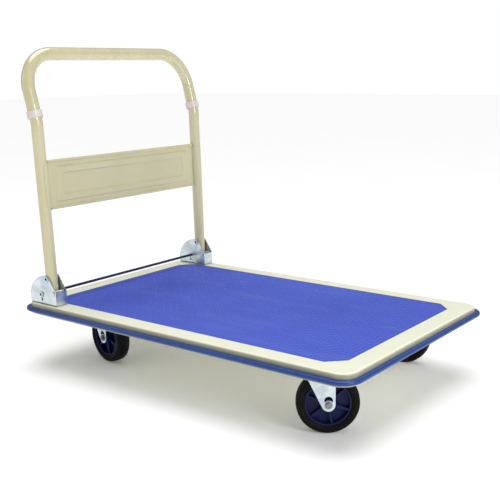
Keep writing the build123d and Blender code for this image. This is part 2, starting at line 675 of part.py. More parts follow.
def hemmed_sheet(height):
    """Flat sheet between the legs with a rolled hem along top and bottom."""
    inside = LEG_Y - TUBE_R + SHEET_OVERRUN
    sheet = Box(2 * inside, height - HEM_D, PANEL_SHEET)
    for edge in (-1, 1):
        hem = Rot(0, 90, 0) * Cylinder(HEM_D / 2, 2 * (inside - HEM_SHORT))
        sheet += Pos(0, edge * (height - HEM_D) / 2, 0) * hem
    for edge in (-1, 1):
        bore = Rot(0, 90, 0) * Cylinder(HEM_D / 2 - HEM_WALL, 2 * inside + CAP)
        sheet -= Pos(0, edge * (height - HEM_D) / 2, 0) * bore
    return sheet


def pressed_step(sheet, half_y, height, step):
    """Press a rectangle of the sheet forward or back by one step."""
    cutter = Box(2 * half_y, height, PRESS_CUT)
    lifted = Pos(0, 0, step) * (sheet & cutter)
    wall = Box(2 * half_y, height, abs(step) + PANEL_SHEET)
    wall -= Box(2 * (half_y - PANEL_SHEET), height - 2 * PANEL_SHEET, PRESS_CUT)
    wall = Pos(0, 0, step / 2) * wall
    return (sheet - cutter) + lifted + wall


def end_saddle(side, height):
    """Curved tab that wraps over the front of one leg."""
    inner = TUBE_R
    outer = TUBE_R + PANEL_SHEET
    tab = Cylinder(outer, height) - Cylinder(inner, height + CAP)
    # Keep the sector that faces forward, from the sheet round past the front.
    sweep_angle = 90.0 + SADDLE_WRAP
    reach = 4 * TUBE_R
    corners = [(0.0, 0.0)]
    for index in range(SADDLE_STEPS + 1):
        angle = math.radians(sweep_angle * index / SADDLE_STEPS)
        if side > 0:
            angle = math.radians(180.0) - angle
        corners.append((reach * math.cos(angle), reach * math.sin(angle)))
    wedge = extrude(make_face(Polyline(*corners, close=True)), height, both=True)
    return tab & wedge


def back_panel():
    """Pressed panel between the legs with hems, two steps and end tabs."""
    height = PANEL_TOP_RISE - PANEL_BOTTOM_RISE
    sheet = hemmed_sheet(height)
    outer_height = height - 2 * OUTER_PRESS_EDGE
    inner_height = height - 2 * INNER_PRESS_EDGE
    sheet = pressed_step(sheet, OUTER_PRESS_Y, outer_height, PRESS_STEP)
    inner = Box(2 * INNER_PRESS_Y, inner_height, PRESS_CUT)
    lifted = sheet & inner
    rim = Box(2 * INNER_PRESS_Y, inner_height, PRESS_STEP + PANEL_SHEET)
    rim -= Box(2 * (INNER_PRESS_Y - PANEL_SHEET), inner_height - 2 * PANEL_SHEET, PRESS_CUT)
    sheet = (sheet - inner) + Pos(0, 0, -PRESS_STEP) * lifted + Pos(0, 0, PRESS_STEP / 2) * rim
    for side in (-1, 1):
        tab_height = height - 2 * HEM_D
        saddle = Rot(90, 0, 0) * end_saddle(side, tab_height)
        sheet += Pos(side * LEG_Y, 0, 0) * saddle
    sheet = panel_frame() * sheet
    for side in (-1, 1):
        low = leg_point(side, PANEL_BOTTOM_RISE - TUBE_D)
        high = leg_point(side, PANEL_TOP_RISE + TUBE_D)
        sheet -= extrude(Plane(origin=low, z_dir=high - low) * Circle(TUBE_R), (high - low).length)
    return sheet


# ================================================================ write every part
def place_castor(shape, castor_x, castor_y, angle):
    """Move a castor part from the swivel pin's own place onto the truck."""
    return Pos(castor_x, castor_y, 0) * Rot(0, 0, angle) * shape


save(deck_pan(), "deck_pan")
save(deck_mat(), "deck_mat")
save(bumper_strip(), "bumper_strip")
save(cross_rail(1), "cross_rail_front")
save(cross_rail(-1), "cross_rail_rear")
save(castor_fixings(), "castor_fixings")
save(hinge_bracket(-1), "hinge_bracket_right")
save(hinge_bracket(1), "hinge_bracket_left")
save(bracket_bolts(), "bracket_bolts")
save(pivot_rivets(), "pivot_rivets")
save(stop_pins(), "stop_pins")
save(release_bar(), "release_bar")
save(release_nuts(), "release_nuts")
save(handle_tube(), "handle_tube")
save(grip_sleeve(), "grip_sleeve")
save(grip_collar(-1), "grip_collar_right")
save(grip_collar(1), "grip_collar_left")
save(back_panel(), "back_panel")
for name, castor_x, castor_y, angle in CASTORS:
    save(castor_plate(castor_x, castor_y), f"castor_plate_{name}")
    save(kingpin(castor_x, castor_y), f"kingpin_{name}")
    save(place_castor(fork(), castor_x, castor_y, angle), f"fork_{name}")
    save(place_castor(axle(), castor_x, castor_y, angle), f"axle_{name}")
    save(place_castor(wheel_hub(), castor_x, castor_y, angle), f"hub_{name}")
    save(place_castor(wheel_tyre(), castor_x, castor_y, angle), f"tyre_{name}")
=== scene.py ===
# Looks of the flatbed platform truck: finishes, fine pieces, light and camera.
# Metres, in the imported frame: +X away from the handle, +Y across, +Z up.
import json
import math

import bmesh
import bpy
from mathutils import Matrix, Vector

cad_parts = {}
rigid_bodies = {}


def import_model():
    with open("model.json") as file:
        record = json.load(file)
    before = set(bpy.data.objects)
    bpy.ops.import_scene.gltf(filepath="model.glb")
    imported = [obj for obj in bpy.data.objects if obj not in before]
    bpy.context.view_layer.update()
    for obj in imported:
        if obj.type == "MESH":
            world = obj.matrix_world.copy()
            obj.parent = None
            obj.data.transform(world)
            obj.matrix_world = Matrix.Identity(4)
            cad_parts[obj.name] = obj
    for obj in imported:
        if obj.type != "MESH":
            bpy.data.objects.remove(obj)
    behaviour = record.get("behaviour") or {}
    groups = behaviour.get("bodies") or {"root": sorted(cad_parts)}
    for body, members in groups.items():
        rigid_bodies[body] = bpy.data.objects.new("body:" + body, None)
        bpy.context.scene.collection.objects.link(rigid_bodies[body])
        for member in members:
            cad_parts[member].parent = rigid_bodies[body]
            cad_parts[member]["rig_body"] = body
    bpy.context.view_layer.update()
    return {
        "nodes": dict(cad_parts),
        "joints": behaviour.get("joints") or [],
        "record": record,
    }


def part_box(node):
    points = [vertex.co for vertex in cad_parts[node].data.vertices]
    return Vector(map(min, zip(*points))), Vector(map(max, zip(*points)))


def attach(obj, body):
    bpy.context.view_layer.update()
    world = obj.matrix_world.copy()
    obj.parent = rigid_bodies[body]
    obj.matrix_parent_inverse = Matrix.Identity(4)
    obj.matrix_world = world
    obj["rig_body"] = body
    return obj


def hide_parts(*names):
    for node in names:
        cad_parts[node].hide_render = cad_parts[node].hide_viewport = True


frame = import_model()

MM = 0.001
NODES = frame["nodes"]
SLOT_OF = {part["node"]: part["material_slot"] for part in frame["record"]["subparts"]}
JOINTS = {joint["name"]: joint for joint in frame["joints"]}
CASTORS = ("front_right", "front_left", "rear_right", "rear_left")

# ---------------------------------------------------------------- places read from the frame
MAT_LOW, MAT_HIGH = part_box("deck_mat")
MAT_LENGTH = MAT_HIGH.x - MAT_LOW.x
MAT_WIDTH = MAT_HIGH.y - MAT_LOW.y
PIVOT = Vector(JOINTS["handle_fold"]["pos_m"])
BRACKET_LOW, BRACKET_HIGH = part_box("hinge_bracket_left")
LEG_Y = (BRACKET_LOW.y + BRACKET_HIGH.y) / 2
TUBE_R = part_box("handle_tube")[1].y - LEG_Y
LEG_LEAN = math.radians(0.9)


# ================================================================ node benches
class Bench:
    """Puts nodes into one tree and joins their sockets."""

    def __init__(self, tree):
        self.tree = tree

    def add(self, kind, inputs=None, **settings):
        """New node with its settings, its inputs given as numbers or as other sockets."""
        node = self.tree.nodes.new(kind)
        for name, value in settings.items():
            setattr(node, name, value)
        for name, value in (inputs or {}).items():
            socket = node.inputs[name]
            if isinstance(value, bpy.types.NodeSocket):
                self.tree.links.new(value, socket)
            else:
                socket.default_value = value
        return node

    def math(self, operation, first, second=0.0):
        """Result of one sum on two numbers."""
        node = self.add("ShaderNodeMath", {0: first, 1: second}, operation=operation)
        return node.outputs[0]


class Finish(Bench):
    """A surface finish: one principled shader and the patterns that feed it."""

    def __init__(self, name, metallic=0.0, coat=0.0, coat_roughness=0.1, shine=0.5):
        self.material = bpy.data.materials.new(name)
        self.material.use_nodes = True
        super().__init__(self.material.node_tree)
        self.shader = self.tree.nodes["Principled BSDF"]
        self.shader.inputs["Metallic"].default_value = metallic
        self.shader.inputs["Coat Weight"].default_value = coat
        self.shader.inputs["Coat Roughness"].default_value = coat_roughness
        self.shader.inputs["Specular IOR Level"].default_value = shine
        self.place = self.add("ShaderNodeTexCoord").outputs["Object"]

    def stretched(self, scale):
        """Pattern place with its own scale along each axis."""
        return self.add("ShaderNodeMapping", {"Vector": self.place, "Scale": scale}).outputs[0]

    def noise(self, scale, detail=3.0, place=None):
        """Cloudy pattern from 0 to 1; scale is in clouds per metre."""
        inputs = {"Vector": place or self.place, "Scale": scale, "Detail": detail}
        return self.add("ShaderNodeTexNoise", inputs).outputs["Fac"]

    def flakes(self, scale):
        """Crystal-like cells, each with a colour of its own; scale is in cells per metre."""
        inputs = {"Vector": self.place, "Scale": scale}
        return self.add("ShaderNodeTexVoronoi", inputs).outputs["Color"]

    def remap(self, value, low, high, to_low=0.0, to_high=1.0):
        """Stretch the part of a pattern between low and high."""
        inputs = {0: value, 1: low, 2: high, 3: to_low, 4: to_high}
        return self.add("ShaderNodeMapRange", inputs).outputs[0]

    def blend(self, factor, first, second, way="MIX"):
        """Mix two colours, each a socket or a colour triple."""
        node = self.add("ShaderNodeMix", data_type="RGBA", blend_type=way)
        sockets = [s for s in node.inputs if s.type == "RGBA"]
        for socket, colour in zip(sockets, (first, second)):
            if isinstance(colour, bpy.types.NodeSocket):
                self.tree.links.new(colour, socket)
            else:
                socket.default_value = (*colour, 1.0)
        if isinstance(factor, bpy.types.NodeSocket):
            self.tree.links.new(factor, node.inputs[0])
        else:
            node.inputs[0].default_value = factor
        return [s for s in node.outputs if s.type == "RGBA"][0]

    def upright(self, most):
        """0 on level faces and most on upright ones."""
        facing = self.add("ShaderNodeNewGeometry").outputs["Normal"]
        rise = self.add("ShaderNodeSeparateXYZ", {0: facing}).outputs[2]
        return self.remap(self.math("ABSOLUTE", rise), 0.88, 0.35, 0.0, most)

    def clouds(self, dark, light, scale, detail=3.0, low=0.3):
        """Two colours that drift into each other."""
        return self.blend(self.remap(self.noise(scale, detail), low, 0.7), dark, light)

    def patchy(self, scale, detail, smooth, rough):
        """Roughness that drifts between two values."""
        return self.remap(self.noise(scale, detail), 0.3, 0.7, smooth, rough)

    def grain(self, scale, depth, detail=2.0, under=None):
        """Fine relief of small bumps."""
        return self.relief(self.noise(scale, detail), depth, under)

    def shade_in_corners(self, tone, colour, reach, most):
        """Darker colour in corners and under ledges, where they are occluded: painted shade."""
        return self.blend(self.math("MULTIPLY", self.crease(reach), most), tone, colour)

    def crease(self, reach):
        """1 in corners and under ledges, 0 in the open."""
        open_share = self.add("ShaderNodeAmbientOcclusion", {"Distance": reach}).outputs["AO"]
        return self.remap(open_share, 0.85, 0.25)

    def edges(self, radius):
        """1 along outer edges and 0 on flat faces."""
        rounded = self.add("ShaderNodeBevel", {"Radius": radius}, samples=4).outputs[0]
        straight = self.add("ShaderNodeNewGeometry").outputs["Normal"]
        alike = self.add("ShaderNodeVectorMath", {0: rounded, 1: straight}, operation="DOT_PRODUCT")
        return self.remap(alike.outputs["Value"], 0.98, 0.86)

    def relief(self, height, depth, under=None):
        """Fine relief; depth is the real height of the pattern."""
        inputs = {"Height": height, "Distance": depth, "Strength": 1.0}
        if under is not None:
            inputs["Normal"] = under
        return self.add("ShaderNodeBump", inputs).outputs[0]

    def done(self, colour, roughness, normal):
        """Join the three patterns to the shader."""
        self.tree.links.new(colour, self.shader.inputs["Base Color"])
        self.tree.links.new(roughness, self.shader.inputs["Roughness"])
        self.tree.links.new(normal, self.shader.inputs["Normal"])
        return self.material


# ================================================================ finishes
# Colours in linear red, green and blue; a pair is the darker and the lighter cloud of one finish.
DECK_CREAM = (0.86, 0.865, 0.68), (0.88, 0.89, 0.73)
DECK_RUBBED = (0.92, 0.92, 0.85)
# Dark olive for the deck's upright sides: painted shade.
DECK_SIDE_SHADE = (0.33, 0.315, 0.22)
HANDLE_BEIGE = (0.64, 0.595, 0.36), (0.69, 0.645, 0.40)
HANDLE_RUBBED = (0.80, 0.76, 0.55)
# Darker paint for corners and under ledges: painted shade, partly dust.
PAINT_DUST_AND_SHADE = (0.23, 0.21, 0.14)
SLEEVE_BEIGE = (0.64, 0.60, 0.35), (0.69, 0.65, 0.41)
SLEEVE_SMEAR = (0.46, 0.42, 0.24)
COLLAR_WHITE = (0.74, 0.66, 0.63), (0.80, 0.74, 0.69)
# Darker colour in the collar's corners: painted shade.
COLLAR_CREASE_SHADE = (0.30, 0.27, 0.20)
TREAD_BLUE = (0.048, 0.088, 0.53), (0.068, 0.120, 0.62)
# Darker blue for the mat's ground between the lozenges: painted shade, partly the contrast of burnished
# tread tops.
GROUND_BLUE_SHADED = (0.038, 0.068, 0.44), (0.052, 0.092, 0.52)
MAT_SCUFF = (0.22, 0.26, 0.60)
# Dark blue for the gaps between the lozenges: painted shade.
MAT_GAP_SHADE = (0.022, 0.030, 0.22)
BUMPER_BLUE = (0.008, 0.044, 0.215), (0.013, 0.058, 0.265)
BUMPER_RUBBED = (0.07, 0.14, 0.36)
SHEET_ZINC = (0.47, 0.57, 0.63), (0.72, 0.79, 0.83)
# Darker zinc for the axles: duller metal, partly painted shade of the recess round each axle end.
AXLE_SHADED_ZINC = (0.16, 0.17, 0.18), (0.30, 0.31, 0.31)
ZINC_FILM = (0.66, 0.62, 0.46)
# Dark grey for the zinc's corners and the places under ledges: painted shade.
ZINC_CORNER_SHADE = (0.07, 0.08, 0.09)
ZINC_SPECK = (0.20, 0.22, 0.24)
BAR_NAVY = (0.012, 0.016, 0.075), (0.022, 0.030, 0.12)
BAR_BARE = (0.20, 0.21, 0.24)
HUB_NAVY = (0.004, 0.008, 0.050), (0.007, 0.014, 0.080)
# Lighter navy for every edge of the hub: painted highlight.
HUB_EDGE_HIGHLIGHT = (0.030, 0.055, 0.24)
# Near-black between the hub's ribs: painted shade.
HUB_RIB_SHADE = (0.004, 0.005, 0.012)
TYRE_BLACK = (0.003, 0.003, 0.003), (0.006, 0.006, 0.006)
TYRE_DUST = (0.040, 0.037, 0.032)
FLOOR_WHITE = (0.95, 0.95, 0.95), (0.97, 0.97, 0.97)
FLOOR_GLOW = 0.10                   # light table under the floor, to soften the shadow


def enamel(name, colours, rub, coat, side_shade=None):
    """Baked enamel on pressed steel: orange peel, painted shade in corners and under ledges with some
    dust, rubbed edges.
    Upright faces can be painted a darker tone: painted shade on the sides."""
    finish = Finish(name, coat=coat, coat_roughness=0.10)
    tone = finish.clouds(*colours, 7.0, low=0.35)
    specks = finish.remap(finish.noise(900.0, 2.0), 0.66, 0.72, 0.0, 0.10)
    tone = finish.blend(specks, tone, rub)
    # Painted shade: upright faces are painted darker, as if lit less than the tops.
    if side_shade is not None:
        tone = finish.blend(finish.upright(0.85), tone, side_shade)
    # Painted shade with some dust: darker paint in corners and under ledges, from occlusion.
    tone = finish.shade_in_corners(tone, PAINT_DUST_AND_SHADE, 9 * MM, finish.patchy(60.0, 3.0, 0.15, 0.55))
    worn = finish.remap(finish.noise(140.0), 0.5, 0.62, 0.0, 0.4)
    tone = finish.blend(finish.math("MULTIPLY", finish.edges(1.2 * MM), worn), tone, rub)
    gloss = finish.patchy(35.0, 4.0, 0.30, 0.42)
    peel = finish.grain(420.0, 0.035 * MM)
    return finish.done(tone, gloss, finish.grain(9.0, 0.35 * MM, 1.0, peel))


def sleeve_vinyl():
    """Glossy vinyl sleeve shrunk on the grip, a little wavy."""
    finish = Finish("sleeve_vinyl", coat=0.9, coat_roughness=0.05)
    tone = finish.clouds(*SLEEVE_BEIGE, 11.0)
    smear = finish.remap(finish.noise(70.0, 5.0), 0.45, 0.75, 0.0, 0.05)
    tone = finish.blend(smear, tone, SLEEVE_SMEAR)
    gloss = finish.patchy(45.0, 4.0, 0.20, 0.30)
    wave = finish.grain(26.0, 0.10 * MM, 1.0)
    return finish.done(tone, gloss, finish.grain(500.0, 0.012 * MM, under=wave))


def collar_plastic():
    """Satin moulded ring with fine upright flutes."""
    finish = Finish("collar_plastic", coat=0.1, coat_roughness=0.3)
    # Painted shade: darker colour in the collar's corners, from occlusion.
    tone = finish.shade_in_corners(finish.clouds(*COLLAR_WHITE, 50.0), COLLAR_CREASE_SHADE, 5 * MM, 0.5)
    flute = finish.noise(1.0, 1.0, finish.stretched((420.0, 420.0, 25.0)))
    gloss = finish.patchy(160.0, 3.0, 0.36, 0.5)
    return finish.done(tone, gloss, finish.relief(flute, 0.15 * MM))


def mat_rubber(name, colours):
    """Blue ribbed rubber, scuffed paler where goods slide."""
    finish = Finish(name, shine=0.34)
    scuff = finish.noise(1.0, 5.0, finish.stretched((5.0, 26.0, 5.0)))
    scuffed = finish.remap(scuff, 0.55, 0.8, 0.0, 0.14)
    tone = finish.blend(scuffed, finish.clouds(*colours, 3.2, 4.0), MAT_SCUFF)
    # Painted shade: darker blue in the gaps between the lozenges and at their feet.
    tone = finish.shade_in_corners(tone, MAT_GAP_SHADE, 2.2 * MM, 0.65)
    gloss = finish.patchy(40.0, 4.0, 0.40, 0.56)
    return finish.done(tone, gloss, finish.grain(1400.0, 0.03 * MM))


def bumper_rubber():
    """Smooth blue rubber extrusion with a soft shine."""
    finish = Finish("bumper_rubber", coat=0.12, coat_roughness=0.2, shine=0.35)
    streak = finish.noise(1.0, 5.0, finish.stretched((9.0, 9.0, 160.0)))
    rubbed = finish.remap(streak, 0.58, 0.75, 0.0, 0.08)
    tone = finish.blend(rubbed, finish.clouds(*BUMPER_BLUE, 6.0), BUMPER_RUBBED)
    gloss = finish.patchy(30.0, 4.0, 0.24, 0.40)
    return finish.done(tone, gloss, finish.grain(700.0, 0.02 * MM))


def zinc_plate(name, colours):
    """Bright zinc plate on rolled sheet: bluish flakes, dull specks, wavy shine."""
    finish = Finish(name, metallic=0.92)
    flake = finish.flakes(170.0)
    pale = finish.blend(finish.remap(finish.noise(34.0, 4.0), 0.35, 0.65), *colours)
    tone = finish.blend(0.06, pale, flake, "SOFT_LIGHT")
    film = finish.remap(finish.noise(16.0, 2.0), 0.5, 0.75, 0.0, 0.25)
    tone = finish.blend(film, tone, ZINC_FILM)
    # Painted shade: darker zinc in corners and under ledges, from occlusion.
    tone = finish.shade_in_corners(tone, ZINC_CORNER_SHADE, 6 * MM, 0.7)
    speck = finish.remap(finish.noise(520.0, 2.0), 0.68, 0.74, 0.0, 0.5)
    tone = finish.blend(speck, tone, ZINC_SPECK)
    gloss = finish.patchy(75.0, 5.0, 0.24, 0.46)
    wave = finish.grain(55.0, 0.45 * MM, 3.0)
    return finish.done(tone, gloss, finish.grain(800.0, 0.012 * MM, under=wave))


def dark_coat():
    """Dark blue-black coat on the release bar, worn in short bands."""
    finish = Finish("dark_coat", metallic=0.35, coat=0.3, coat_roughness=0.2)
    band = finish.noise(1.0, 5.0, finish.stretched((120.0, 22.0, 120.0)))
    bare = finish.remap(band, 0.66, 0.76, 0.0, 0.5)
    tone = finish.blend(bare, finish.clouds(*BAR_NAVY, 20.0), BAR_BARE)
    gloss = finish.patchy(90.0, 3.0, 0.22, 0.4)
    return finish.done(tone, gloss, finish.grain(600.0, 0.02 * MM))


def hub_plastic():
    """Navy moulded plastic with fine grain, painted shade between the ribs and a painted highlight
    along its edges.
    """
    finish = Finish("hub_plastic", shine=0.2)
    # Painted highlight: lighter navy along every edge.
    edge = finish.math("MULTIPLY", finish.edges(0.9 * MM), 0.5)
    tone = finish.blend(edge, finish.clouds(*HUB_NAVY, 30.0), HUB_EDGE_HIGHLIGHT)
    # Painted shade: darker between the ribs, from occlusion.
    tone = finish.shade_in_corners(tone, HUB_RIB_SHADE, 8 * MM, 0.35)
    gloss = finish.patchy(120.0, 3.0, 0.34, 0.5)
    return finish.done(tone, gloss, finish.grain(1500.0, 0.02 * MM))


def tyre_rubber():
    """Solid black rubber, greyed by floor dust."""
    finish = Finish("tyre_rubber", shine=0.12)
    dust = finish.remap(finish.noise(190.0, 5.0), 0.55, 0.75, 0.0, 0.16)
    tone = finish.blend(dust, finish.clouds(*TYRE_BLACK, 40.0, 4.0, low=0.35), TYRE_DUST)
    gloss = finish.patchy(80.0, 4.0, 0.48, 0.68)
    return finish.done(tone, gloss, finish.grain(900.0, 0.05 * MM, 3.0))


def studio_floor():
    """Pale matt floor with barely visible clouds."""
    finish = Finish("studio_floor")
    tone = finish.blend(finish.noise(1.5), *FLOOR_WHITE)
    gloss = finish.patchy(3.0, 3.0, 0.7, 0.85)
    finish.shader.inputs["Emission Color"].default_value = (1.0, 1.0, 1.0, 1.0)
    finish.shader.inputs["Emission Strength"].default_value = FLOOR_GLOW
    return finish.done(tone, gloss, finish.grain(60.0, 0.02 * MM, 3.0))


FINISHES = {
    "deck_paint": enamel("deck_enamel", DECK_CREAM, DECK_RUBBED, coat=0.25, side_shade=DECK_SIDE_SHADE),
    "handle_paint": enamel("handle_enamel", HANDLE_BEIGE, HANDLE_RUBBED, coat=0.7),
    "grip": sleeve_vinyl(),
    "collar": collar_plastic(),
    "mat": mat_rubber("mat_rubber", TREAD_BLUE),
    "bumper": bumper_rubber(),
    "zinc": zinc_plate("zinc_plate", SHEET_ZINC),
    "dark_steel": dark_coat(),
    "hub": hub_plastic(),
    "tyre": tyre_rubber(),
}
# Finishes of single nodes that differ from the rest of their slot.
# The mat's ground wears a darker copy of the mat finish: painted shade between the lozenges, partly
# burnished tread tops.
NODE_FINISHES = {"deck_mat": mat_rubber("mat_ground_shaded", GROUND_BLUE_SHADED)}
# The axles wear darker zinc: partly painted shade of the recess round each axle end.
axle_shaded_finish = zinc_plate("axle_shaded_zinc", AXLE_SHADED_ZINC)
for castor_name in CASTORS:
    NODE_FINISHES[f"axle_{castor_name}"] = axle_shaded_finish


# ================================================================ making pieces
def finish_of(node):
    """The finish that a CAD node wears."""
    return NODE_FINISHES.get(node, FINISHES[SLOT_OF[node]])


def shown(name, mesh, slot_name, body, replaced=()):
    """Put a finished mesh on its body, in its finish, in place of CAD nodes."""
    piece = bpy.data.objects.new(name, mesh)
    bpy.context.scene.collection.objects.link(piece)
    mesh.materials.clear()
    mesh.materials.append(FINISHES[slot_name])
    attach(piece, body)
    if replaced:
        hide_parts(*replaced)
    return piece


def flattened(piece):
    """Turn a piece and its modifiers into one plain mesh."""
    result = bpy.data.meshes.new_from_object(piece.evaluated_get(bpy.context.evaluated_depsgraph_get()))
    piece.modifiers.clear()
    piece.data = result
    return piece


WELD = 0.002 * MM
FLAT = math.radians(0.3)
SHARP = math.radians(32.0)


def softened(node, edge):
    """Copy of a CAD node with its sharp edges rounded over by a small radius."""
    mesh = NODES[node].data.copy()
    work = bmesh.new()
    work.from_mesh(mesh)
    bmesh.ops.remove_doubles(work, verts=work.verts, dist=WELD)
    bmesh.ops.dissolve_limit(work, angle_limit=FLAT, verts=work.verts, edges=work.edges)
    work.to_mesh(mesh)
    work.free()
    mesh.shade_smooth()
    piece = shown(node + "_finished", mesh, SLOT_OF[node], NODES[node]["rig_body"], [node])
    mesh.materials[0] = finish_of(node)
    rounding = piece.modifiers.new("rounded_edges", "BEVEL")
    rounding.width = edge
    rounding.segments = 2
    rounding.limit_method = "ANGLE"
    rounding.angle_limit = SHARP
    rounding.use_clamp_overlap = True
    evening = piece.modifiers.new("even_shading", "WEIGHTED_NORMAL")
    evening.keep_sharp = True
    return piece


def lathe(profile, centre, axis, steps):
    """Ring mesh from a closed profile of (radius, offset along the axis)."""
    along = axis.normalized()
    up = Vector((0, 0, 1)) if abs(along.z) < 0.9 else Vector((1, 0, 0))
    side = along.cross(up).normalized()
    work = bmesh.new()
    rings = []
    for index in range(steps):
        angle = 2 * math.pi * index / steps
        out = up * math.cos(angle) + side * math.sin(angle)
        rings.append([work.verts.new(centre + out * r + along * w) for r, w in profile])
    count = len(profile)
    for index in range(steps):
        here = rings[index]
        there = rings[(index + 1) % steps]
        for k in range(count):
            nxt = (k + 1) % count
            work.faces.new((here[k], there[k], there[nxt], here[nxt]))
    bmesh.ops.recalc_face_normals(work, faces=work.faces)
    mesh = bpy.data.meshes.new("turned")
    work.to_mesh(mesh)
    work.free()
    mesh.shade_smooth()
    return mesh


def round_corner(centre, radius, start, turn, steps):
    """Points of an arc in a profile, its angles in degrees."""
    points = []
    for index in range(steps + 1):
        angle = math.radians(start + turn * index / steps)
        points.append((centre[0] + radius * math.cos(angle), centre[1] + radius * math.sin(angle)))
    return points


def joined(meshes):
    """One mesh out of several."""
    work = bmesh.new()
    for mesh in meshes:
        work.from_mesh(mesh)
    result = bpy.data.meshes.new("joined")
    work.to_mesh(result)
    work.free()
    result.shade_smooth()
    return result


def reach_along(node, direction, centre):
    """Lowest and highest place of a CAD node along a direction from a point."""
    places = [(v.co - centre).dot(direction) for v in NODES[node].data.vertices]
    return min(places), max(places)


def reach_around(node, axis, centre):
    """Greatest distance of a CAD node from an axis."""
    farthest = 0.0
    for vertex in NODES[node].data.vertices:
        offset = vertex.co - centre
        farthest = max(farthest, (offset - axis * offset.dot(axis)).length)
    return farthest


# ================================================================ mat tread
def new_tree(name, inputs):
    """Geometry tree with nothing in it but its named inputs: (label, kind)."""
    tree = bpy.data.node_groups.new(name, "GeometryNodeTree")
    tree.interface.new_socket("Geometry", in_out="INPUT", socket_type="NodeSocketGeometry")
    tree.interface.new_socket("Geometry", in_out="OUTPUT", socket_type="NodeSocketGeometry")
    for label, kind in inputs:
        tree.interface.new_socket(label, in_out="INPUT", socket_type=kind)
    return tree


def grown(name, tree, values, slot_name, body):
    """Run a geometry tree once and keep its result as a plain piece."""
    piece = shown(name, bpy.data.meshes.new(name), slot_name, body)
    modifier = piece.modifiers.new(name, "NODES")
    modifier.node_group = tree
    for item in tree.interface.items_tree:
        if item.name in values:
            modifier[item.identifier] = values[item.name]
    return flattened(piece)


LOZENGE_SIDES = 8
LOZENGE_TOP = 0.62                  # top of a lozenge as a share of its foot


def tread_tree():
    """Lozenges on a square grid, turned one way and the other in turn."""
    number = "NodeSocketFloat"
    tree = new_tree("tread_lozenges", [
        ("Length", number), ("Width", number), ("Pitch", number), ("Corner reach", number),
        ("Lozenge length", number), ("Lozenge width", number), ("Rise", number), ("Level", number),
        ("Finish", "NodeSocketMaterial"),
    ])
    bench = Bench(tree)
    given = bench.add("NodeGroupInput").outputs
    along = bench.math("ROUND", bench.math("DIVIDE", given["Length"], given["Pitch"]))
    across = bench.math("ROUND", bench.math("DIVIDE", given["Width"], given["Pitch"]))
    grid = bench.add("GeometryNodeMeshGrid", {
        "Size X": bench.math("MULTIPLY", along, given["Pitch"]),
        "Size Y": bench.math("MULTIPLY", across, given["Pitch"]),
        "Vertices X": bench.math("ADD", along, 1.0),
        "Vertices Y": bench.math("ADD", across, 1.0),
    })
    place = bench.add("ShaderNodeSeparateXYZ", {0: bench.add("GeometryNodeInputPosition").outputs[0]})
    x, y = place.outputs[0], place.outputs[1]
    spread = bench.math("ADD", bench.math("ABSOLUTE", x), bench.math("ABSOLUTE", y))
    outside = bench.math("GREATER_THAN", spread, given["Corner reach"])
    trimmed = bench.add("GeometryNodeDeleteGeometry", {
        "Geometry": grid.outputs["Mesh"], "Selection": outside,
    })
    from_end = bench.math("ADD", x, given["Length"])
    from_side = bench.math("ADD", y, given["Width"])
    column = bench.math("ROUND", bench.math("DIVIDE", from_end, given["Pitch"]))
    row = bench.math("ROUND", bench.math("DIVIDE", from_side, given["Pitch"]))
    turned = bench.math("MODULO", bench.math("ADD", column, row), 2.0)
    angle = bench.math("ADD", bench.math("MULTIPLY", turned, math.pi / 2), math.pi / 4)
    rotation = bench.add("ShaderNodeCombineXYZ", {2: angle})
    cone = bench.add("GeometryNodeMeshCone", {
        "Vertices": LOZENGE_SIDES, "Side Segments": 1, "Fill Segments": 1,
        "Radius Top": LOZENGE_TOP, "Radius Bottom": 1.0, "Depth": 1.0,
    })
    size = bench.add("ShaderNodeCombineXYZ", {
        0: bench.math("DIVIDE", given["Lozenge length"], 2.0),
        1: bench.math("DIVIDE", given["Lozenge width"], 2.0),
        2: given["Rise"],
    })
    lozenge = bench.add("GeometryNodeTransform", {
        "Geometry": cone.outputs["Mesh"], "Scale": size.outputs[0],
    })
    copies = bench.add("GeometryNodeInstanceOnPoints", {
        "Points": trimmed.outputs[0], "Instance": lozenge.outputs[0], "Rotation": rotation.outputs[0],
    })
    lift = bench.add("ShaderNodeCombineXYZ", {2: given["Level"]})
    lifted = bench.add("GeometryNodeTransform", {
        "Geometry": copies.outputs[0], "Translation": lift.outputs[0],
    })
    real = bench.add("GeometryNodeRealizeInstances", {"Geometry": lifted.outputs[0]})
    coated = bench.add("GeometryNodeSetMaterial", {
        "Geometry": real.outputs[0], "Material": given["Finish"],
    })
    bench.add("NodeGroupOutput", {"Geometry": coated.outputs[0]})
    return tree


TREAD_PITCH = 11.0 * MM
TREAD_EDGE = 6.0 * MM               # plain border of the mat
TREAD_RISE = 0.7 * MM
TREAD_SUNK = 0.1 * MM               # foot of each lozenge inside the mat
LOZENGE_LENGTH = 12.6 * MM
LOZENGE_WIDTH = 5.6 * MM
MAT_CORNER_CUT = 32.0 * MM


def mat_tread():
    """Raised lozenges all over the deck mat."""
    reach = MAT_LENGTH / 2 + MAT_WIDTH / 2 - MAT_CORNER_CUT - TREAD_EDGE
    grown("mat_tread", tread_tree(), {
        "Length": MAT_LENGTH - 2 * TREAD_EDGE - TREAD_PITCH,
        "Width": MAT_WIDTH - 2 * TREAD_EDGE - TREAD_PITCH,
        "Pitch": TREAD_PITCH,
        "Corner reach": reach,
        "Lozenge length": LOZENGE_LENGTH,
        "Lozenge width": LOZENGE_WIDTH,
        "Rise": TREAD_RISE,
        "Level": MAT_HIGH.z - TREAD_SUNK,
        "Finish": FINISHES["mat"],
    }, "mat", "deck")


